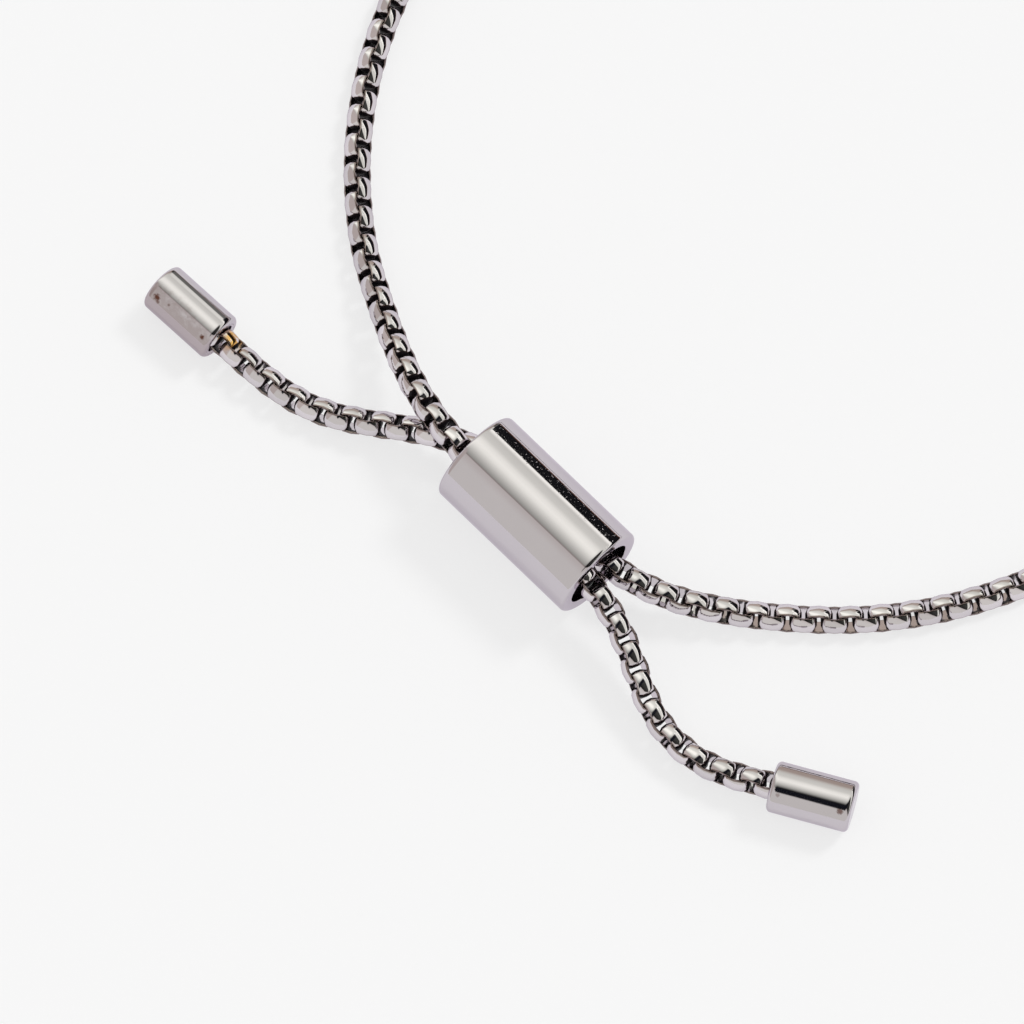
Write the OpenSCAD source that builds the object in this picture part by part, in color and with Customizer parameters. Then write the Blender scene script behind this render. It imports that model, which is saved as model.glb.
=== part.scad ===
// Bolo slider bracelet: a rounded box chain whose two ends run side by side
// through a tubular slider and finish in small round end caps.
// The bracelet lies on its side. The origin is the middle of the wrist loop, on
// the surface that it lies on, +Z is up and +X is along the slider.

/* [Slider] */
// Length of the slider tube
slider_l = 12.7; // [11:0.1:16]
// Thickness of the slider's wall
slider_wall = 1; // [0.6:0.05:1.5]
// Rounding of the slider's outer edges
slider_edge_r = 0.3; // [0.1:0.05:0.5]

/* [Grip insert] */
// Length of the rubber insert inside the slider
insert_l = 7; // [5:0.5:9]
// Thinnest wall of the insert, outside the strands
insert_wall = 0.25; // [0.2:0.05:0.5]
// Clearance between the insert and the slider's bore
insert_clearance = 0.1; // [0.1:0.05:0.2]
// Gap between the two strands inside the insert
strand_gap = 0.3; // [0.2:0.05:0.5]
// Turn of the pair of strands about the slider's axis
lane_tilt = 31; // [20:1:40]
// Clearance between a strand and the insert
lane_clearance = 0.2; // [0.15:0.05:0.3]

/* [End caps] */
// Length of an end cap
cap_l = 6; // [5:0.1:8]
// Diameter of an end cap
cap_d = 3.7; // [3.2:0.1:4.5]
// Rounding of an end cap's outer edges
cap_edge_r = 0.35; // [0.1:0.05:0.5]
// Clearance between the chain and an end cap's bore
cap_clearance = 0.2; // [0.15:0.05:0.3]
// Length of chain that sits inside an end cap
cap_seat = 1.8; // [1.2:0.1:3]
// Gap between the end of the chain and the bottom of the bore
cap_end_gap = 0.3; // [0.1:0.1:1]

/* [Chain] */
// Diameter of the chain across its rounded links
chain_d = 2; // [1.8:0.05:2.2]
// Thickness of the band that a link is made of
band_t = 0.32; // [0.25:0.01:0.34]
// Distance from one link to the next, middle to middle
link_pitch = 1.118; // [1.1:0.002:1.2]
// Play along the chain between two links
link_play = 0.2; // [0.17:0.01:0.22]
// Play across the chain between two links, on each side
side_play = 0.17; // [0.15:0.01:0.18]
// Rounding of a link's outer corners, seen from its side
link_corner_r = 0.6; // [0.4:0.05:0.65]

/* [Wrist loop] */
// Width of the oval loop along the slider, to the middle of the chain
loop_w = 68.7; // [60:0.1:74]
// Depth of the far half of the loop, from the origin to the middle of the chain
loop_far = 31; // [28:0.5:36]
// Distance from the middle of the loop to the middle of the slider, along the slider
slider_shift = 4.4; // [3:0.1:6]

/* [Hidden] */

round_sides = 64;
edge_sides = 24;
corner_chords = 2;

loop_r = loop_w / 2;
chain_r = chain_d / 2;
cap_r = cap_d / 2;
cap_bore_d = chain_d + 2 * cap_clearance;
cap_bore_l = cap_seat + cap_end_gap;
lane_spacing = chain_d + strand_gap;
lane_d = chain_d + 2 * lane_clearance;
insert_d = lane_spacing + lane_d + 2 * insert_wall;
slider_bore_d = insert_d + 2 * insert_clearance;
slider_r = slider_bore_d / 2 + slider_wall;
link_l = link_pitch + 2 * band_t + link_play;
band_w = chain_d - 2 * band_t - 2 * side_play;

// Middle of the slider, which lies along X at the near side of the loop
slider_at = [slider_shift, -loop_r, slider_r];

// The two lanes of the insert, from the slider's axis: the outer lane is the upper one
outer_lane = [0, -cos(lane_tilt), sin(lane_tilt)] * lane_spacing / 2;
inner_lane = -outer_lane;

// A place that lies X and Y from the middle of the slider, in shares of the loop's radius
function from_slider(x, y, z) = [slider_at.x + x * loop_r, slider_at.y + y * loop_r, z];

// Middle of each cap's mouth, and the direction in which the chain leaves it
cap_left_mouth = from_slider(-0.754, -0.185, cap_r);
cap_left_heading = 2;
cap_right_mouth = from_slider(0.751, -0.057, cap_r);
cap_right_heading = 209.5;

// Chosen points that the free chain follows: X and Y from the middle of the
// slider in shares of the loop's radius, and the height as a share of the rise
// from a chain on the floor to the slider's axis
ROUTE = [
    ["tail from the left cap", [
        [-0.687, -0.182, 0.22], [-0.611, -0.176, 0.13], [-0.539, -0.162, 0.11], [-0.472, -0.135, 0.13],
        [-0.413, -0.098, 0.2], [-0.355, -0.058, 0.31], [-0.297, -0.022, 0.45], [-0.242, 0.006, 0.57],
        [-0.18, 0.022, 0.66]]],
    ["loop from the slider's right mouth", [
        [0.183, 0.032, 0.74], [0.256, 0.051, 0.65], [0.326, 0.083, 0.48], [0.393, 0.13, 0.28],
        [0.454, 0.18, 0.09]]],
    ["loop over the left tail", [
        [-0.62, 0.132, 0.13], [-0.55, 0.095, 0.35], [-0.483, 0.06, 0.67], [-0.413, 0.028, 1],
        [-0.344, 0.003, 1.26], [-0.268, -0.013, 1.41], [-0.189, -0.02, 1.37]]],
    ["tail to the right cap", [
        [0.186, -0.029, 1.17], [0.253, -0.038, 1.02], [0.32, -0.058, 0.78], [0.384, -0.087, 0.52],
        [0.448, -0.116, 0.3], [0.518, -0.132, 0.17], [0.594, -0.128, 0.13], [0.667, -0.104, 0.2]]],
];

// Angles between which the loop lies on the floor, and the roll of the links
// about the chain in degrees at shares of the chain's length
loop_from = -50;
loop_to = 236;
loop_steps = 60;
ROLL = [
    [0, 50], [0.08, 53], [0.13, 76], [0.15, 76], [0.18, 57], [0.25, 55], [0.5, 45], [0.72, 42], [0.8, 50],
    [0.86, 70], [0.92, 79], [0.97, 79], [1, 70]];
spline_steps = 6;

function heading(a) = [cos(a), sin(a), 0];
function inside_cap(mouth, a) = [for (share = [1, 0.5, 0]) mouth - share * cap_seat * heading(a)];
function outside_cap(mouth, a) = [for (share = [0, 0.5, 1]) mouth - share * cap_seat * heading(a)];
function through_slider(lane) = [for (share = [-1:0.5:1]) slider_at + lane + [share * insert_l / 2, 0, 0]];
function free(stretch) =
    [for (p = stretch[1]) from_slider(p.x, p.y, chain_r + p.z * (slider_r - chain_r))];
function loop_point(a) = [loop_r * cos(a), (sin(a) > 0 ? loop_far : loop_r) * sin(a), chain_r];

GUIDE = concat(
    inside_cap(cap_left_mouth, cap_left_heading), free(ROUTE[0]),
    through_slider(inner_lane), free(ROUTE[1]),
    [for (k = [0:loop_steps]) loop_point(loop_from + (loop_to - loop_from) * k / loop_steps)],
    free(ROUTE[2]), through_slider(outer_lane),
    free(ROUTE[3]), outside_cap(cap_right_mouth, cap_right_heading)
);

// A smooth curve along the guide points, with one more point past each end
last = len(GUIDE) - 1;
KNOTS = concat([2 * GUIDE[0] - GUIDE[1]], GUIDE, [2 * GUIDE[last] - GUIDE[last - 1]]);

function spline(a, b, c, d, f) =
    (a * pow(1 - f, 3) + b * (3 * pow(f, 3) - 6 * f * f + 4)
    + c * (1 + 3 * f + 3 * f * f - 3 * pow(f, 3)) + d * pow(f, 3)) / 6;

CURVE = concat(
    [for (i = [0:last - 1], k = [0:spline_steps - 1])
        spline(KNOTS[i], KNOTS[i + 1], KNOTS[i + 2], KNOTS[i + 3], k / spline_steps)],
    [GUIDE[last]]
);

// Distance along the curve of each of its points, and tables to look places up in
count = len(CURVE);
ALONG = [for (i = 0, s = 0; i < count; s = s + norm(CURVE[min(i + 1, count - 1)] - CURVE[i]), i = i + 1) s];
PLACES = [for (axis = [0:2]) [for (i = [0:count - 1]) [ALONG[i], CURVE[i][axis]]]];
chain_l = ALONG[count - 1];
link_count = 1 + floor((chain_l - link_l) / link_pitch);
link_step = (chain_l - link_l) / (link_count - 1);

function place(s) = [for (table = PLACES) lookup(s, table)];

corner_sign = [[1, 1], [-1, 1], [-1, -1], [1, -1]];

// Outline of a plate whose rounded corners are cut in a few chords
function plate_outline(size, corner_r) =
    [for (q = [0:3], k = [0:corner_chords])
        let (a = 90 * (q + k / corner_chords), middle = size / 2 - [corner_r, corner_r])
        [corner_sign[q].x * middle.x + corner_r * cos(a), corner_sign[q].y * middle.y + corner_r * sin(a)]];

// A box link along Z: a band bent round an opening, domed on its outer faces
module link() {
    outer = [chain_d + side_play, link_l];
    opening = [chain_d - 2 * band_t, link_l - 2 * band_t];
    intersection() {
        cylinder(h = 2 * link_l, r = chain_r, center = true, $fn = round_sides);
        rotate([90, 0, 0])
            linear_extrude(height = band_w, center = true)
                difference() {
                    polygon(plate_outline(outer, link_corner_r));
                    square(opening, center = true);
                }
    }
}

// A round bar that stands along Z, with rounded outer edges
module rounded_bar(length, radius, edge_r) {
    rotate_extrude($fn = round_sides) {
        square([radius - edge_r, length]);
        translate([0, edge_r]) square([radius, length - 2 * edge_r]);
        for (z = [edge_r, length - edge_r])
            translate([radius - edge_r, z]) circle(edge_r, $fn = edge_sides);
    }
}

module slider() {
    color("silver")
        translate(slider_at - [slider_l / 2, 0, 0])
            rotate([0, 90, 0])
                difference() {
                    rounded_bar(slider_l, slider_r, slider_edge_r);
                    cylinder(h = 3 * slider_l, d = slider_bore_d, center = true, $fn = round_sides);
                }
}

module grip_insert() {
    hole_l = 3 * insert_l;
    color("dimgray")
        translate(slider_at - [insert_l / 2, 0, 0])
            rotate([-lane_tilt, 0, 0])
                rotate([0, 90, 0])
                    difference() {
                        cylinder(h = insert_l, d = insert_d, $fn = round_sides);
                        cube([lane_d, lane_spacing, hole_l], center = true);
                        for (side = [-1, 1])
                            translate([0, side * lane_spacing / 2, 0])
                                cylinder(h = hole_l, d = lane_d, center = true, $fn = round_sides);
                    }
}

module end_cap(mouth, chain_heading) {
    color("gainsboro")
        translate(mouth)
            rotate([0, 90, chain_heading + 180])
                difference() {
                    rounded_bar(cap_l, cap_r, cap_edge_r);
                    cylinder(h = 2 * cap_bore_l, d = cap_bore_d, center = true, $fn = round_sides);
                }
}

module end_cap_left() {
    end_cap(cap_left_mouth, cap_left_heading);
}

module end_cap_right() {
    end_cap(cap_right_mouth, cap_right_heading);
}

module chain() {
    color("lightgray")
        for (i = [0:link_count - 1]) {
            s = link_l / 2 + i * link_step;
            way = place(s + link_step / 2) - place(s - link_step / 2);
            translate(place(s))
                rotate([0, acos(way.z / norm(way)), atan2(way.y, way.x)])
                    rotate([0, 0, lookup(s / chain_l, ROLL) + 90 * (i % 2)])
                        link();
        }
}

slider();
grip_insert();
end_cap_left();
end_cap_right();
chain();
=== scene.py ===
import math

import bpy
import numpy as np
from mathutils import Matrix, Vector


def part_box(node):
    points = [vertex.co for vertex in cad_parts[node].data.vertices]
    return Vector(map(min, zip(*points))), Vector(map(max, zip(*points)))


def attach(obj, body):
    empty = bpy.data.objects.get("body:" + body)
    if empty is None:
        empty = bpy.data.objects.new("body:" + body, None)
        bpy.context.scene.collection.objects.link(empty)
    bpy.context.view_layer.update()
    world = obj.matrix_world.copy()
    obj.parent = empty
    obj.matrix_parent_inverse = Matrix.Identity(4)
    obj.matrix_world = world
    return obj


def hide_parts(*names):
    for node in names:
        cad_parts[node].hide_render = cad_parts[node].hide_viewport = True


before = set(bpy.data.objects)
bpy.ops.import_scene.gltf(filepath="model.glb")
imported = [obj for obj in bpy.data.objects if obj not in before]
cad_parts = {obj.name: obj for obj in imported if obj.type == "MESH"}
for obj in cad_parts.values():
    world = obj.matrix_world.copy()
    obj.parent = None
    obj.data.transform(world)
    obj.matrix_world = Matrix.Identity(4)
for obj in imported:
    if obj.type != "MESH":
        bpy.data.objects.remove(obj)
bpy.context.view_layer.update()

MM = 0.001
PHOTO_SIDE = 1024

# Camera: a long lens above the near side of the loop
CAMERA_AZIMUTH = 45.4
CAMERA_ELEVATION = 71.0
CAMERA_DISTANCE = 0.9
METRES_PER_PIXEL = 0.0714 * MM
SLIDER_PIXEL = (536.5, 514.4)
SENSOR_WIDTH = 36.0
CAMERA_CLIP = (0.05, 20.0)

# Chain: the outline's power is 1 for an ellipse and near 0 for a box
LINK_SIZES = {
    "Link length": 2.03 * MM,
    "Chain radius": 1.0 * MM,
    "Dome radius": 1.1 * MM,
    "Band thickness": 0.36 * MM,
    "Band width": 1.16 * MM,
    "Bow": 0.12,
}
OUTLINE_POINTS = 14
OUTLINE_POWER = 0.4
DOME_POINTS = 4
TONE_SEED = 7

# Turned pieces: bores are radii, and the scuffs' angle is from the slider's top towards +Y
TURN_SEGMENTS = 160
BORE_CHAMFER = 0.1 * MM
TRUE_FACE = 0.12 * MM
SLIDER_BORE = 2.7 * MM
SLIDER_EDGE = 0.3 * MM
SCUFFS_ANGLE = 29.0
CAP_BORE = 1.2 * MM
CAP_BORE_DEPTH = 2.1 * MM
CAP_EDGE = 0.35 * MM

# Stains on each cap: place along it from its middle, angle from its top, radius and strength
CAP_STAINS = {
    "left": (
        (-2.15 * MM, -39.5, 0.34 * MM, 1.0),
        (-1.9 * MM, -47.0, 0.2 * MM, 0.7),
        (-1.08 * MM, -34.6, 0.14 * MM, 0.6),
        (2.32 * MM, -38.9, 0.24 * MM, 1.0),
    ),
    "right": (
        (2.23 * MM, -32.8, 0.32 * MM, 0.8),
        (-2.33 * MM, -34.0, 0.22 * MM, 0.45),
    ),
}
STAIN_RAGGEDNESS = 1.4
SOLDER_PLACE = (-20.6 * MM, -40.2 * MM, 2.2 * MM)
SOLDER_REACH = 1.3 * MM

# Sizes of the lumps in each finish and in the painted shade, and how far the edge of the painted crevice
# shade strays from a crevice
POLISH_CLOUD = 2.2 * MM
RUB_MARKS = 0.14 * MM
SOFT_PATCHES = 1.0 * MM
SIDE_SHADE_LUMPS = 0.55 * MM
PITS = 0.2 * MM
SHADE_EDGE_LUMPS = 0.25 * MM
SHADE_EDGE_REACH = 0.1 * MM
SOLDER_LUMPS = 0.5 * MM
RUBBER_GRAIN = 0.12 * MM
FLOOR_CLOUD = 40 * MM

# Painted shade in a link's crevices, and a painted dark line along its band's rims: how far from its middle
# each starts and where it is full
SHADE_BETWEEN_SIDES = (0.56 * MM, 0.44 * MM)
SHADE_AT_LINK_ENDS = (0.83 * MM, 0.93 * MM)
DARK_RIM_LINES = (0.52 * MM, 0.56 * MM)

# How deep in a crevice the painted shade turns the steel brown, then black, then dull
SHADE_BROWN_DEPTHS = (0.1, 0.5)
SHADE_BLACK_DEPTHS = (0.3, 0.7)
SHADE_DULL_DEPTHS = (0.4, 0.8)

# Colours
STEEL = (0.58, 0.538, 0.575, 1.0)
CHAIN_STEEL = (0.635, 0.593, 0.623, 1.0)
STEEL_EDGE = (0.8, 0.76, 0.82, 1.0)
TARNISH = (0.13, 0.055, 0.04, 1.0)
# Painted shade over one side of the left cap
SIDE_SHADE = (0.45, 0.39, 0.41, 1.0)
SOLDER = (0.74, 0.42, 0.13, 1.0)
# Painted shade in a link's crevices: brown at its edge, then black
CREVICE_SHADE_BROWN = (0.2, 0.1, 0.06, 1.0)
CREVICE_SHADE = (0.012, 0.009, 0.011, 1.0)
RUBBER_DARK = (0.012, 0.012, 0.013, 1.0)
RUBBER_PALE = (0.028, 0.027, 0.028, 1.0)
PALE = (0.93, 0.93, 0.93, 1.0)

# Studio: a lean is a direction's angle in degrees from straight up towards +Y, a side is how far a direction
# of length 1 points towards +X, and each pair is where something starts and where it is full
SOFTBOX = (1.0, 1.036, 0.925, 1.0)
SOFTBOX_GLOW = (
    (-22, 0.42), (-8, 0.86), (5, 1.3), (13, 1.42), (23, 1.3), (33, 1.0), (48, 0.9), (57, 0.95),
)
SOFTBOX_START = -23.0
SOFTBOX_FULL_LIT = -21.0
SOFTBOX_FULL_SHADE = -7.0
SOFTBOX_END = ((-0.22, 1.0), (-0.1, 0.83), (-0.04, 0.74), (0.01, 0.6), (0.07, 0.1), (0.1, 0.04))
SOFTBOX_END_LEANS = (-25.0, -22.0)
NEAR_HALF_LEANS = (34.0, 26.0)
FAR_RIM = (1.5, 1.55, 1.39, 1.0)
FAR_RIM_LEANS = (48.0, 57.0)
ROOM = (0.82, 0.82, 0.765, 1.0)
ROOM_LIT_SIDES = (-0.29, -0.25)
ROOM_SHADE = (0.63, 0.575, 0.53, 1.0)
ROOM_NEAR_SOFTBOX = (0.72, 0.69, 0.64, 1.0)
ROOM_NEAR_SOFTBOX_LEANS = (-47.0, -22.0)
ROOM_LINE = (0.36, 0.32, 0.29, 1.0)
ROOM_LINE_LEANS = (-25.5, -23.0)
WARM_WALL = (0.54, 0.465, 0.395, 1.0)
WARM_WALL_LEANS = (44.0, 70.0)
WARM_WALL_SIDES = (-0.3, -0.4)
CARD = (0.01, 0.01, 0.012, 1.0)
CARD_SIDES = (-0.45, -0.41)
CARD_START = 59.6
CARD_SLIM_START = 69.0
CARD_FULL_SIDES = (-0.27, -0.254)
CARD_BLUR = 0.6
CARD_DIM = 0.2
CARD_DIM_SIDES = ((-0.252, -0.272), (-0.34, -0.31))
DRAPE = (0.01, 0.011, 0.016, 1.0)
DRAPE_SIDES = ((0.06, 0.1), (0.34, 0.26))
DRAPE_SLOPE = 40.0
DRAPE_FOOT_LEANS = (-29.0, -25.0)
SKIRTING = (0.2, 0.1, 0.06, 1.0)
SKIRTING_HEIGHTS = (0.055, 0.035)
SKIRTING_WALL = (0.0, 0.1)
SKIRTING_SIDES = (-0.62, -0.56)
BELOW_HORIZON = (0.0, -0.02)
KEY_LIGHT_WAY = (0.12, 0.68, 0.723)
KEY_LIGHT_REACH = 0.16
KEY_LIGHT = 20.0
EVEN_LIGHT = 0.63
FLOOR_REACH = 3.0
FLOOR_COLOUR = (0.34, 0.34, 0.34, 1.0)
FLOOR_GLOW = 0.648


class Field:
    """A socket of a node tree, with the arithmetic of plain numbers. Without a socket it only adds nodes."""

    def __init__(self, tree, socket=None):
        self.tree = tree
        self.socket = socket

    def node(self, kind, settings=(), **inputs):
        """Adds a node: its settings first, with a ramp's stops, then the values or links of its inputs."""
        made = self.tree.nodes.new(kind)
        for name, value in dict(settings).items():
            if name == "stops":
                set_stops(made.color_ramp.elements, value)
            else:
                setattr(made, name, value)
        for name, value in inputs.items():
            connect(value, find_socket(made.inputs, name))
        return made

    def out(self, kind, output, settings=(), **inputs):
        """That output of such a node."""
        return Field(self.tree, find_socket(self.node(kind, settings, **inputs).outputs, output))

    def math(self, operation, *others):
        values = {f"Value_{k:03d}": other for k, other in enumerate(others, 1)}
        return self.out("ShaderNodeMath", "Value", {"operation": operation}, Value=self, **values)

    def __add__(self, other):
        return self.math("ADD", other)

    def __sub__(self, other):
        return self.math("SUBTRACT", other)

    def __mul__(self, other):
        return self.math("MULTIPLY", other)

    def __truediv__(self, other):
        return self.math("DIVIDE", other)

    def __neg__(self):
        return self * -1.0

    def __rsub__(self, other):
        return -self + other

    def __abs__(self):
        return self.math("ABSOLUTE")

    __radd__ = __add__
    __rmul__ = __mul__

    def below(self, limit):
        return self.math("LESS_THAN", limit)

    def smooth(self, low, high):
        """0 below low, 1 above high, smooth between; falls where low is above high."""
        return self.out("ShaderNodeMapRange", "Result", {"interpolation_type": "SMOOTHSTEP"},
                        Value=self, From_Min=low, From_Max=high)

    def mix(self, low, high):
        """A colour between low at 0 and high at 1."""
        return self.out("ShaderNodeMix", "Result_Color", {"data_type": "RGBA"},
                        Factor_Float=self, A_Color=low, B_Color=high)

    def times(self, colour):
        """This colour or number times another colour."""
        return self.out("ShaderNodeMix", "Result_Color", {"data_type": "RGBA", "blend_type": "MULTIPLY"},
                        Factor_Float=1.0, A_Color=self, B_Color=colour)

    def ramp(self, stops):
        """A number that follows the stops, each a place on the scale and its value."""
        first, reach = stops[0][0], stops[-1][0] - stops[0][0]
        shares = [((place - first) / reach, value) for place, value in stops]
        return self.out("ShaderNodeValToRGB", "Color", {"stops": shares}, Fac=(self - first) / reach)

    def distance(self, point):
        return self.out("ShaderNodeVectorMath", "Value", {"operation": "DISTANCE"}, Vector=self,
                        Vector_001=point)

    def noise(self, size, detail=2.0, roughness=0.5):
        """Noise with lumps of that size in metres."""
        return self.out("ShaderNodeTexNoise", "Fac", Vector=self, Scale=1.0 / size, Detail=detail,
                        Roughness=roughness)

    def split(self):
        made = self.node("ShaderNodeSeparateXYZ", Vector=self)
        return [Field(self.tree, socket) for socket in made.outputs]

    def vector(self, x, y, z):
        return self.out("ShaderNodeCombineXYZ", "Vector", X=x, Y=y, Z=z)


def connect(value, socket):
    """Links a field to a socket, or sets the socket's own value."""
    if isinstance(value, Field):
        value.tree.links.new(value.socket, socket)
    else:
        socket.default_value = value


def find_socket(sockets, name):
    """The socket in use with that identifier or name, with _ for a space."""
    for socket in sockets:
        if socket.enabled and name in (socket.identifier, socket.name.replace(" ", "_")):
            return socket
    raise KeyError(name)


def set_stops(elements, stops):
    """Gives a colour ramp its stops, each a share of its width and a value."""
    for share, _ in stops[1:-1]:
        elements.new(share)
    for element, (_, value) in zip(elements, stops):
        element.color = (value, value, value, 1.0)


def new_material(name):
    """A material with a lone Principled shader: returns it, the shader and Object coordinates."""
    material = bpy.data.materials.new(name)
    material.use_nodes = True
    shader = material.node_tree.nodes["Principled BSDF"]
    return material, shader, Field(material.node_tree).out("ShaderNodeTexCoord", "Object")


def bump(place, height, strength, depth):
    return place.out("ShaderNodeBump", "Normal", Height=height, Strength=strength, Distance=depth)


def tinted(colour, share):
    return tuple(min(1.0, c * share) for c in colour[:3]) + (1.0,)


def stain(place, point, radius):
    """A round stain with a ragged edge: 1 in its middle, 0 outside."""
    core = 0.35 * radius
    edge = place.distance(point) + (place.noise(core, 3.0) - 0.5) * (radius * STAIN_RAGGEDNESS)
    return edge.smooth(radius, core)


def side_of(place, middle, outward, reach):
    """How far a place lies on that side of a middle: 1 at the reach."""
    x, y, z = place.out("ShaderNodeVectorMath", "Vector", {"operation": "SUBTRACT"}, Vector=place,
                        Vector_001=middle).split()
    return (x * outward[0] + y * outward[1] + z * outward[2]) / reach


def finish_steel(shader, place, colour, roughness, metallic=1.0):
    """The polish of every steel piece: small rubbing marks over soft clouds."""
    cloud = place.noise(POLISH_CLOUD, 3.0)
    fine = place.noise(RUB_MARKS, 4.0, 0.6)
    connect(metallic, shader.inputs["Metallic"])
    shader.inputs["Specular IOR Level"].default_value = 0.15
    shader.inputs["Specular Tint"].default_value = STEEL_EDGE
    connect(colour, shader.inputs["Base Color"])
    connect(roughness + cloud * 0.03 + fine.smooth(0.55, 0.8) * 0.05, shader.inputs["Roughness"])
    connect(bump(place, cloud * 0.6 + fine * 0.02, 0.15, 0.02 * MM), shader.inputs["Normal"])


def polished_steel(name, stains=(), shaded_side=None, scuffs=None):
    """Lilac polished steel with, where given, brown stains, painted shade mottled over one side and a line of
    tiny pits.
    """
    material, shader, place = new_material(name)
    colour = place.noise(POLISH_CLOUD, 3.0).mix(tinted(STEEL, 0.97), tinted(STEEL, 1.03))
    if shaded_side:
        # Painted shade: the steel darkens, mottled, over the given side
        cloud = (place.noise(SIDE_SHADE_LUMPS, 4.0, 0.65) - 0.5) * 1.6
        colour = (side_of(place, *shaded_side) + cloud).smooth(0.05, 0.7).mix(colour, SIDE_SHADE)
    for point, radius, strength in stains:
        colour = (stain(place, point, radius) * strength).mix(colour, TARNISH)
    rough = place.noise(SOFT_PATCHES, 2.0) * 0.02 + 0.03
    if scuffs:
        pits = place.noise(PITS, 2.0).smooth(0.61, 0.7)
        rough = rough + pits * side_of(place, *scuffs).smooth(0.985, 0.991) * 0.3
    finish_steel(shader, place, colour, rough)
    return material


def link_steel():
    """Polished steel with painted shade in the crevices of a link, brown then black, a painted dark line
    along the band's rims, and solder by the left cap.
    """
    material, shader, place = new_material("chain_steel")
    tone = place.out("ShaderNodeAttribute", "Fac", {"attribute_name": "tone"})
    in_link = place.out("ShaderNodeAttribute", "Vector", {"attribute_name": "in_link"})
    x, y, z = (abs(axis) for axis in in_link.split())
    # Painted shade: deeper in a link's crevices the steel turns brown, then black and dull
    shade_wobble = (place.noise(SHADE_EDGE_LUMPS, 3.0) - 0.5) * SHADE_EDGE_REACH
    depth = (x + shade_wobble * 0.5).smooth(*SHADE_BETWEEN_SIDES)
    depth = depth.math("MAXIMUM", (y + shade_wobble).smooth(*SHADE_AT_LINK_ENDS))
    # Painted shade: a dark brown line along the band's rims
    rim = (z + shade_wobble * 0.3).smooth(*DARK_RIM_LINES)
    colour = tone.mix(tinted(CHAIN_STEEL, 0.95), tinted(CHAIN_STEEL, 1.12))
    solder = place.distance(SOLDER_PLACE).smooth(SOLDER_REACH, 0.4 * SOLDER_REACH)
    colour = (solder * place.noise(SOLDER_LUMPS, 2.0).smooth(0.36, 0.5)).mix(colour, SOLDER)
    colour = (rim * 0.7).mix(colour, tinted(CREVICE_SHADE_BROWN, 0.6))
    colour = depth.smooth(*SHADE_BROWN_DEPTHS).mix(colour, CREVICE_SHADE_BROWN)
    colour = depth.smooth(*SHADE_BLACK_DEPTHS).mix(colour, CREVICE_SHADE)
    metallic = 1.0 - depth.smooth(*SHADE_DULL_DEPTHS)
    finish_steel(shader, place, colour, depth * 0.4 + tone * 0.03 + 0.04, metallic)
    return material


def rubber():
    material, shader, place = new_material("grip_rubber")
    grain = place.noise(RUBBER_GRAIN, 4.0)
    connect(grain.mix(RUBBER_DARK, RUBBER_PALE), shader.inputs["Base Color"])
    connect(0.55 + grain * 0.2, shader.inputs["Roughness"])
    connect(bump(place, grain, 0.4, 0.03 * MM), shader.inputs["Normal"])
    return material


def floor_material():
    """A pale table that glows a little, which keeps the shadows on it light."""
    material, shader, place = new_material("floor")
    shader.inputs["Roughness"].default_value = 0.9
    shader.inputs["Specular IOR Level"].default_value = 0.0
    shader.inputs["Emission Color"].default_value = (1.0, 1.0, 1.0, 1.0)
    shader.inputs["Emission Strength"].default_value = FLOOR_GLOW
    cloud = place.noise(FLOOR_CLOUD, 2.0)
    connect(cloud.mix(FLOOR_COLOUR, tinted(FLOOR_COLOUR, 1.005)), shader.inputs["Base Color"])
    return material


def add_object(name, mesh):
    made = bpy.data.objects.new(name, mesh)
    bpy.context.scene.collection.objects.link(made)
    return made


def arc(centre, radius, start, end, steps=6):
    """Points on an arc, from one angle to the other in degrees."""
    return [(centre[0] + radius * math.cos(math.radians(start + (end - start) * k / steps)),
             centre[1] + radius * math.sin(math.radians(start + (end - start) * k / steps)))
            for k in range(steps + 1)]


def turned(name, profile, middle, axis, closed):
    """A piece turned about an axis: the profile is (place along the axis, radius), from end to end."""
    along = Vector(axis).normalized()
    side = along.cross(Vector((0, 0, 1))).normalized()
    up = side.cross(along)
    verts, faces = [], []
    for x, r in profile:
        for k in range(TURN_SEGMENTS):
            a = 2 * math.pi * k / TURN_SEGMENTS
            verts.append(middle + along * x + (side * math.cos(a) + up * math.sin(a)) * r)
    rings = len(profile)
    for i in range(rings if closed else rings - 1):
        for k in range(TURN_SEGMENTS):
            a, b = i * TURN_SEGMENTS, (i + 1) % rings * TURN_SEGMENTS
            n = (k + 1) % TURN_SEGMENTS
            faces.append((a + k, b + k, b + n, a + n))
    if not closed:
        for i in (0, rings - 1):
            x, _ = profile[i]
            verts.append(middle + along * x)
            pole = len(verts) - 1
            for k in range(TURN_SEGMENTS):
                n = (k + 1) % TURN_SEGMENTS
                ring = i * TURN_SEGMENTS
                faces.append((ring + k, ring + n, pole) if i == 0 else (ring + n, ring + k, pole))
    mesh = bpy.data.meshes.new(name)
    mesh.from_pydata([tuple(v) for v in verts], [], faces)
    mesh.update()
    mesh.shade_smooth()
    return add_object(name, mesh)


def round_outside(half, radius, edge):
    """The outer face between two rounded rims, with a ring by each rim that keeps the face's shading true."""
    out = arc((-half + edge, radius - edge), edge, 180, 90)
    out += [(-half + edge + TRUE_FACE, radius), (half - edge - TRUE_FACE, radius)]
    return out + arc((half - edge, radius - edge), edge, 90, 0)


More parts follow.
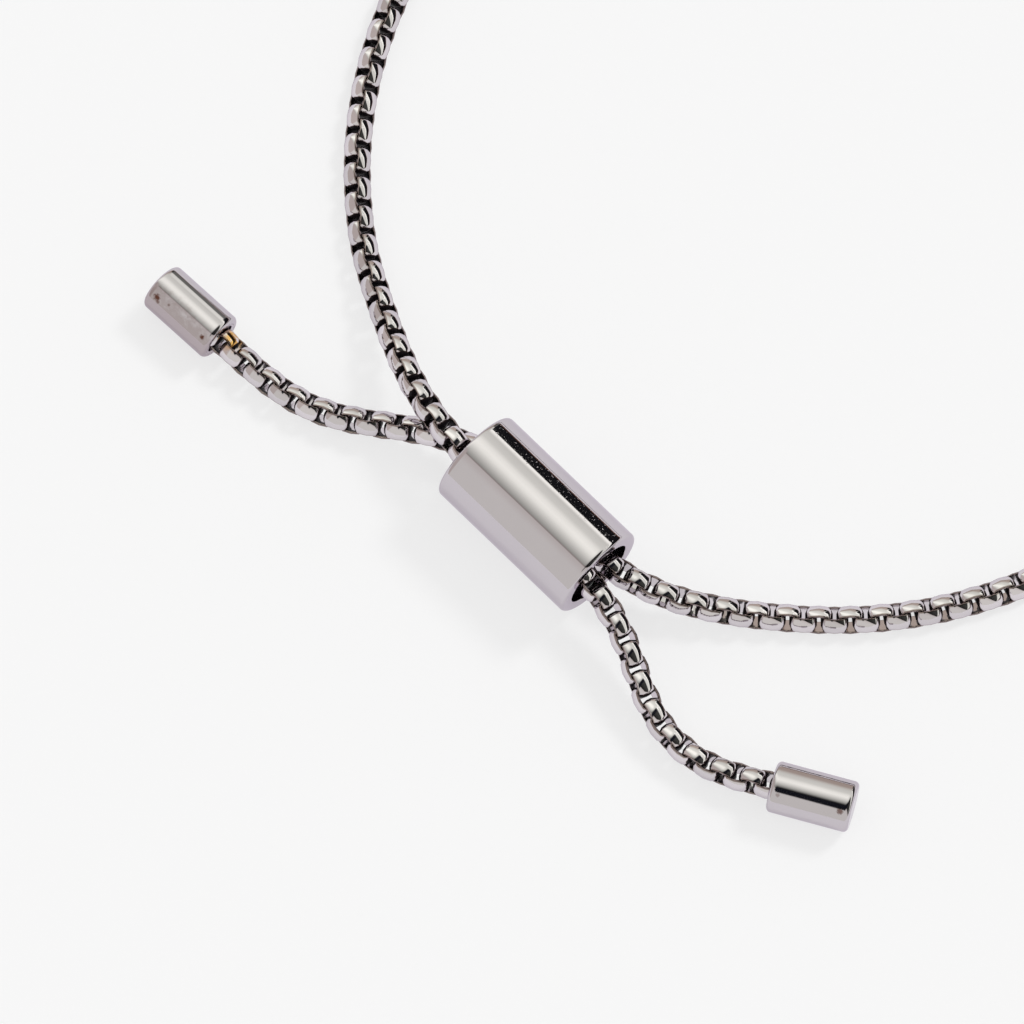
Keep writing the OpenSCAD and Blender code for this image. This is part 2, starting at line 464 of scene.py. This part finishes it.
def slider_profile(length, radius, bore, edge):
    """Round the tube's wall: outer face, rim, bore, rim."""
    half = length / 2
    chamfer = BORE_CHAMFER
    out = round_outside(half, radius, edge)
    out += [(half, radius - edge - TRUE_FACE), (half, bore + chamfer + TRUE_FACE)]
    out += arc((half - chamfer, bore + chamfer), chamfer, 0, -90, 3)
    out += [(half - chamfer - TRUE_FACE, bore), (-half + chamfer + TRUE_FACE, bore)]
    out += arc((-half + chamfer, bore + chamfer), chamfer, -90, -180, 3)
    return out + [(-half, bore + chamfer + TRUE_FACE), (-half, radius - edge - TRUE_FACE)]


def cad_copy(node):
    """The node's points and triangles, with the points of touching faces joined."""
    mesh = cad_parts[node].data
    points = np.array([v.co for v in mesh.vertices])
    mesh.calc_loop_triangles()
    faces = np.array([t.vertices for t in mesh.loop_triangles])
    _, first, joined = np.unique(np.round(points / (0.001 * MM)).astype(int), axis=0,
                                 return_index=True, return_inverse=True)
    return points[first], joined.reshape(-1)[faces]


def solids_of(points, faces):
    """Splits a mesh into its loose solids: a list of triangle arrays."""
    owner = np.arange(len(points))
    while True:
        low = owner[faces].min(axis=1)
        new = owner.copy()
        for corner in range(3):
            np.minimum.at(new, faces[:, corner], low)
        new = new[new]
        if (new == owner).all():
            break
        owner = new
    label = owner[faces[:, 0]]
    return [faces[label == k] for k in np.unique(label)]


def link_places():
    """Each link's middle and the normal of its ring, in order from the left end cap."""
    points, faces = cad_copy("chain")
    middles, normals = [], []
    for solid in solids_of(points, faces):
        used = points[np.unique(solid)]
        a, b, c = (points[solid[:, k]] - used.mean(0) for k in range(3))
        volume = np.einsum("ij,ij->i", a, np.cross(b, c)) / 6
        middle = ((a + b + c) * volume[:, None]).sum(0) / 4 / volume.sum()
        spread = (used - used.mean(0)).T @ (used - used.mean(0))
        middles.append(used.mean(0) + middle)
        normals.append(np.linalg.eigh(spread)[1][:, 0])
    middles, normals = np.array(middles), np.array(normals)
    cap_middle = np.array(sum(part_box("end_cap_left"), Vector()) / 2)
    order = [int(np.argmin(np.linalg.norm(middles - cap_middle, axis=1)))]
    left = set(range(len(middles))) - set(order)
    while left:
        near = min(left, key=lambda k: np.linalg.norm(middles[k] - middles[order[-1]]))
        order.append(near)
        left.remove(near)
    return middles[order], normals[order]


def link_turns(middles, normals):
    """Turns that lay a link's length along the chain and its width along its ring's normal."""
    ways = np.gradient(middles, axis=0)
    turns = []
    for way, normal in zip(ways, normals):
        along = Vector(way).normalized()
        across = Vector(normal)
        across = (across - along * across.dot(along)).normalized()
        side = along.cross(across)
        turns.append(Matrix((side, along, across)).transposed().to_quaternion())
    return turns


def stored(geometry, name, value, kind):
    """The geometry with a value of that kind kept on its points."""
    return geometry.out("GeometryNodeStoreNamedAttribute", "Geometry", {"data_type": kind}, Geometry=geometry,
                        Name=name, Value=value)


def kept(index, name, kind):
    return index.out("GeometryNodeInputNamedAttribute", "Attribute", {"data_type": kind}, Name=name)


def link_outline(given, index):
    """The middle line of a link's band: a box with bowed sides that keeps the way outwards on its points."""
    angle = index * (2 * math.pi / OUTLINE_POINTS)
    cosine, sine = angle.math("COSINE"), angle.math("SINE")
    x = cosine.math("SIGN") * abs(cosine).math("POWER", OUTLINE_POWER)
    y = sine.math("SIGN") * abs(sine).math("POWER", OUTLINE_POWER)
    x = x * (1.0 - y * y * given["Bow"]) * (given["Chain radius"] - given["Band thickness"] * 0.5)
    y = y * (given["Link length"] - given["Band thickness"]) * 0.5
    path = index.out("GeometryNodeCurvePrimitiveCircle", "Curve", {"mode": "RADIUS"},
                     Resolution=OUTLINE_POINTS, Radius=1.0)
    path = index.out("GeometryNodeSetPosition", "Geometry", Geometry=path, Position=index.vector(x, y, 0.0))
    along_x, along_y, _ = index.out("GeometryNodeInputTangent", "Tangent").split()
    side = (x * along_y - y * along_x).math("SIGN")
    return stored(path, "outwards", index.vector(along_y * side, -along_x * side, 0.0), "FLOAT_VECTOR")


def link_section(given, index):
    """The band's section: points on its domed outside, then the two corners of its flat inside."""
    width, thickness, radius = given["Band width"], given["Band thickness"], given["Dome radius"]
    domed = index.below(DOME_POINTS - 0.5)
    flat = 1.0 - domed
    across = (index / (DOME_POINTS - 1.0) - 0.5) * width * domed + (DOME_POINTS + 0.5 - index) * width * flat
    rise = (radius * radius - across * across).math("SQRT") - radius + thickness * 0.5
    section = width.out("GeometryNodeCurvePrimitiveCircle", "Curve", {"mode": "RADIUS"},
                        Resolution=DOME_POINTS + 2, Radius=1.0)
    section = stored(section, "domed", domed, "FLOAT")
    return width.out("GeometryNodeSetPosition", "Geometry", Geometry=section,
                     Position=width.vector(rise * domed - thickness * 0.5 * flat, across, 0.0))


def true_normals(band, given, index):
    """Shades the few faces of a band as the smooth dome that they stand for."""
    out_x, out_y, _ = kept(index, "outwards", "FLOAT_VECTOR").split()
    domed = kept(index, "domed", "FLOAT")
    _, _, z = index.out("GeometryNodeInputPosition", "Position").split()
    lean = z / given["Dome radius"] * domed
    level = (1.0 - lean * lean).math("SQRT") * (domed * 2.0 - 1.0)
    return index.out("GeometryNodeSetMeshNormal", "Mesh", {"mode": "FREE", "domain": "POINT"}, Mesh=band,
                     Custom_Normal=index.vector(out_x * level, out_y * level, lean))


def chain_tree():
    """Geometry Nodes that bend a domed band into a box link and set one on every point."""
    tree = bpy.data.node_groups.new("box_chain", "GeometryNodeTree")
    tree.interface.new_socket("Geometry", in_out="OUTPUT", socket_type="NodeSocketGeometry")
    tree.interface.new_socket("Geometry", in_out="INPUT", socket_type="NodeSocketGeometry")
    for name in LINK_SIZES:
        tree.interface.new_socket(name, in_out="INPUT", socket_type="NodeSocketFloat")
    tree.interface.new_socket("Material", in_out="INPUT", socket_type="NodeSocketMaterial")
    group = Field(tree).node("NodeGroupInput")
    given = {socket.name: Field(tree, socket) for socket in group.outputs if socket.name}
    index = Field(tree).out("GeometryNodeInputIndex", "Index")

    band = index.out("GeometryNodeCurveToMesh", "Mesh", Curve=link_outline(given, index),
                     Profile_Curve=link_section(given, index))
    band = index.out("GeometryNodeSetShadeSmooth", "Geometry", Geometry=band)
    band = true_normals(band, given, index)
    band = stored(band, "in_link", index.out("GeometryNodeInputPosition", "Position"), "FLOAT_VECTOR")
    links = index.out("GeometryNodeInstanceOnPoints", "Instances", Points=given["Geometry"], Instance=band,
                      Rotation=kept(index, "turn", "QUATERNION"))
    real = index.out("GeometryNodeRealizeInstances", "Geometry", Geometry=links)
    real = index.out("GeometryNodeSetMaterial", "Geometry", Geometry=real, Material=given["Material"])
    index.node("NodeGroupOutput", Geometry=real)
    return tree


def box_chain(material):
    """The chain's links in the places of the solid ones, as one mesh."""
    middles, normals = link_places()
    mesh = bpy.data.meshes.new("chain_points")
    mesh.from_pydata([tuple(m) for m in middles], [], [])
    turn = mesh.attributes.new("turn", "QUATERNION", "POINT")
    turn.data.foreach_set("value", [x for t in link_turns(middles, normals) for x in t])
    tone = mesh.attributes.new("tone", "FLOAT", "POINT")
    tone.data.foreach_set("value", np.random.default_rng(TONE_SEED).random(len(middles)))
    points = add_object("chain_points", mesh)
    tree = chain_tree()
    modifier = points.modifiers.new("links", "NODES")
    modifier.node_group = tree
    sizes = dict(LINK_SIZES, Material=material)
    for item in tree.interface.items_tree:
        if item.in_out == "INPUT" and item.name in sizes:
            modifier[item.identifier] = sizes[item.name]
    graph = bpy.context.evaluated_depsgraph_get()
    done = bpy.data.meshes.new_from_object(points.evaluated_get(graph))
    bpy.data.objects.remove(points)
    done.materials.clear()
    done.materials.append(material)
    done.polygons.foreach_set("material_index", [0] * len(done.polygons))
    return add_object("box_chain", done)


def round_bar_facts(node):
    """Middle, length, radius and direction of a turned node, from its solid."""
    points, _ = cad_copy(node)
    middle = (points.max(0) + points.min(0)) / 2
    spread = (points - points.mean(0)).T @ (points - points.mean(0))
    axis = Vector(np.linalg.eigh(spread)[1][:, 2])
    if axis.x < 0:
        axis = -axis
    along = (points - middle) @ np.array(axis)
    away = np.linalg.norm((points - middle) - np.outer(along, np.array(axis)), axis=1)
    return Vector(middle), along.max() - along.min(), away.max(), axis


def slider_tube():
    middle, length, radius, axis = round_bar_facts("slider")
    profile = slider_profile(length, radius, SLIDER_BORE, SLIDER_EDGE)
    piece = turned("slider_tube", profile, middle, axis, True)
    rubbed = Vector((0, math.sin(math.radians(SCUFFS_ANGLE)), math.cos(math.radians(SCUFFS_ANGLE))))
    piece.data.materials.append(polished_steel("slider_steel", scuffs=(middle, rubbed, radius)))
    return piece


def end_cap(side, mouth_side):
    """A stained cap closed at one end; mouth_side is 1 where its mouth is at +X of it, else -1."""
    middle, length, radius, axis = round_bar_facts("end_cap_" + side)
    edge = CAP_EDGE
    half = length / 2
    profile = [(-half, radius - edge - TRUE_FACE)] + round_outside(half, radius, edge)
    profile += [(half, radius - edge - TRUE_FACE), (half, CAP_BORE + BORE_CHAMFER + TRUE_FACE)]
    profile += arc((half - BORE_CHAMFER, CAP_BORE + BORE_CHAMFER), BORE_CHAMFER, 0, -90, 3)
    profile += [(half - CAP_BORE_DEPTH, CAP_BORE)]
    piece = turned("round_cap_" + side, profile, middle, axis * mouth_side, False)
    across = Vector((-axis.y, axis.x, 0)).normalized()
    # Painted shade over the left cap's side towards -Y
    shaded_side = (middle, -across, radius) if side == "left" else None
    stains = []
    for along, angle, reach, strength in CAP_STAINS[side]:
        outward = across * math.sin(math.radians(angle)) + Vector((0, 0, math.cos(math.radians(angle))))
        stains.append((middle + axis * along + outward * radius, reach, strength))
    piece.data.materials.append(polished_steel("cap_steel_" + side, stains, shaded_side))
    return piece


def camera():
    """A long lens at the photograph's angle, with the slider where the photograph has it."""
    azimuth, elevation = math.radians(CAMERA_AZIMUTH), math.radians(CAMERA_ELEVATION)
    right = Vector((math.cos(azimuth), math.sin(azimuth), 0))
    forward = Vector((-math.sin(azimuth), math.cos(azimuth), 0)) * math.cos(elevation)
    forward.z = -math.sin(elevation)
    up = right.cross(forward)
    low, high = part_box("slider")
    aside = [(pixel - PHOTO_SIDE / 2) * METRES_PER_PIXEL for pixel in SLIDER_PIXEL]
    data = bpy.data.cameras.new("camera")
    data.sensor_width = SENSOR_WIDTH
    data.lens = SENSOR_WIDTH * CAMERA_DISTANCE / (PHOTO_SIDE * METRES_PER_PIXEL)
    data.clip_start, data.clip_end = CAMERA_CLIP
    made = add_object("camera", data)
    made.matrix_world = Matrix.Translation(
        (low + high) / 2 - forward * CAMERA_DISTANCE - right * aside[0] + up * aside[1]
    ) @ Matrix((right, up, -forward)).transposed().to_4x4()
    bpy.context.scene.camera = made


def studio_floor():
    mesh = bpy.data.meshes.new("floor")
    r = FLOOR_REACH
    mesh.from_pydata([(-r, -r, 0), (r, -r, 0), (r, r, 0), (-r, r, 0)], [], [(0, 1, 2, 3)])
    mesh.materials.append(floor_material())
    made = add_object("floor", mesh)


def mirrored_studio(way):
    """What polished metal mirrors: a softbox in a pale room, a black card behind it, a drape beside it."""
    x, y, z = way.split()
    lean = y.math("ARCTAN2", z) * (180 / math.pi)
    lit = x.smooth(*ROOM_LIT_SIDES)
    near_half = lean.smooth(*NEAR_HALF_LEANS)

    room = lean.smooth(*ROOM_NEAR_SOFTBOX_LEANS).mix(ROOM, ROOM_NEAR_SOFTBOX)
    room = lean.smooth(*ROOM_LINE_LEANS).mix(room, ROOM_LINE)
    colour = lit.mix(ROOM_SHADE, room)

    softbox = lean.ramp(SOFTBOX_GLOW).times(SOFTBOX)
    full = lit * (SOFTBOX_FULL_LIT - SOFTBOX_FULL_SHADE) + SOFTBOX_FULL_SHADE
    colour = lean.smooth(SOFTBOX_START, full).mix(colour, softbox)
    colour = (lean.smooth(*FAR_RIM_LEANS) * lit).mix(colour, FAR_RIM)
    end = lean.smooth(*SOFTBOX_END_LEANS) * near_half
    colour = end.mix(colour, x.ramp(SOFTBOX_END).times(colour))
    colour = (lean.smooth(*WARM_WALL_LEANS) * x.smooth(*WARM_WALL_SIDES)).mix(colour, WARM_WALL)

    start = x.smooth(*CARD_FULL_SIDES) * (CARD_START - CARD_SLIM_START) + CARD_SLIM_START
    card = (lean - start).smooth(-CARD_BLUR, CARD_BLUR) * x.smooth(*CARD_SIDES)
    dim = x.smooth(*CARD_DIM_SIDES[0]) * x.smooth(*CARD_DIM_SIDES[1])
    colour = (card * (1.0 - dim * CARD_DIM)).mix(colour, CARD)

    drape = x.smooth(*DRAPE_SIDES[0]) * x.smooth(*DRAPE_SIDES[1])
    drape = drape * (lean + x * DRAPE_SLOPE).smooth(*DRAPE_FOOT_LEANS) * near_half
    colour = drape.mix(colour, DRAPE)

    skirting = z.smooth(*SKIRTING_HEIGHTS) * y.smooth(*SKIRTING_WALL) * x.smooth(*SKIRTING_SIDES)
    colour = skirting.mix(colour, SKIRTING)
    return z.smooth(*BELOW_HORIZON).mix(colour, PALE)


def studio_world():
    """Even light and a soft key from the far side for matte things, and what polished metal mirrors."""
    world = bpy.data.worlds.new("studio")
    world.use_nodes = True
    bpy.context.scene.world = world
    world.node_tree.nodes.clear()
    way = Field(world.node_tree).out("ShaderNodeTexCoord", "Generated")
    key = way.distance(KEY_LIGHT_WAY).smooth(KEY_LIGHT_REACH, 0.5 * KEY_LIGHT_REACH)
    even = key.mix(tinted((1, 1, 1), EVEN_LIGHT), (KEY_LIGHT, KEY_LIGHT, KEY_LIGHT, 1.0))
    colour = way.out("ShaderNodeLightPath", "Is_Glossy_Ray").mix(even, mirrored_studio(way))
    colour = way.out("ShaderNodeLightPath", "Is_Camera_Ray").mix(colour, PALE)
    way.node("ShaderNodeOutputWorld", Surface=way.out("ShaderNodeBackground", "Background", Color=colour))


camera()
studio_floor()
studio_world()

chain = box_chain(link_steel())
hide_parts("chain")

slider = slider_tube()
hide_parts("slider")

caps = []
for side, mouth_side in (("left", 1), ("right", -1)):
    cap = end_cap(side, mouth_side)
    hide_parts("end_cap_" + side)
    caps.append(cap)

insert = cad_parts["grip_insert"]
insert.data.materials.clear()
insert.data.materials.append(rubber())

for piece in (chain, slider, *caps):
    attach(piece, "root")

bpy.context.scene.view_settings.view_transform = "Standard"
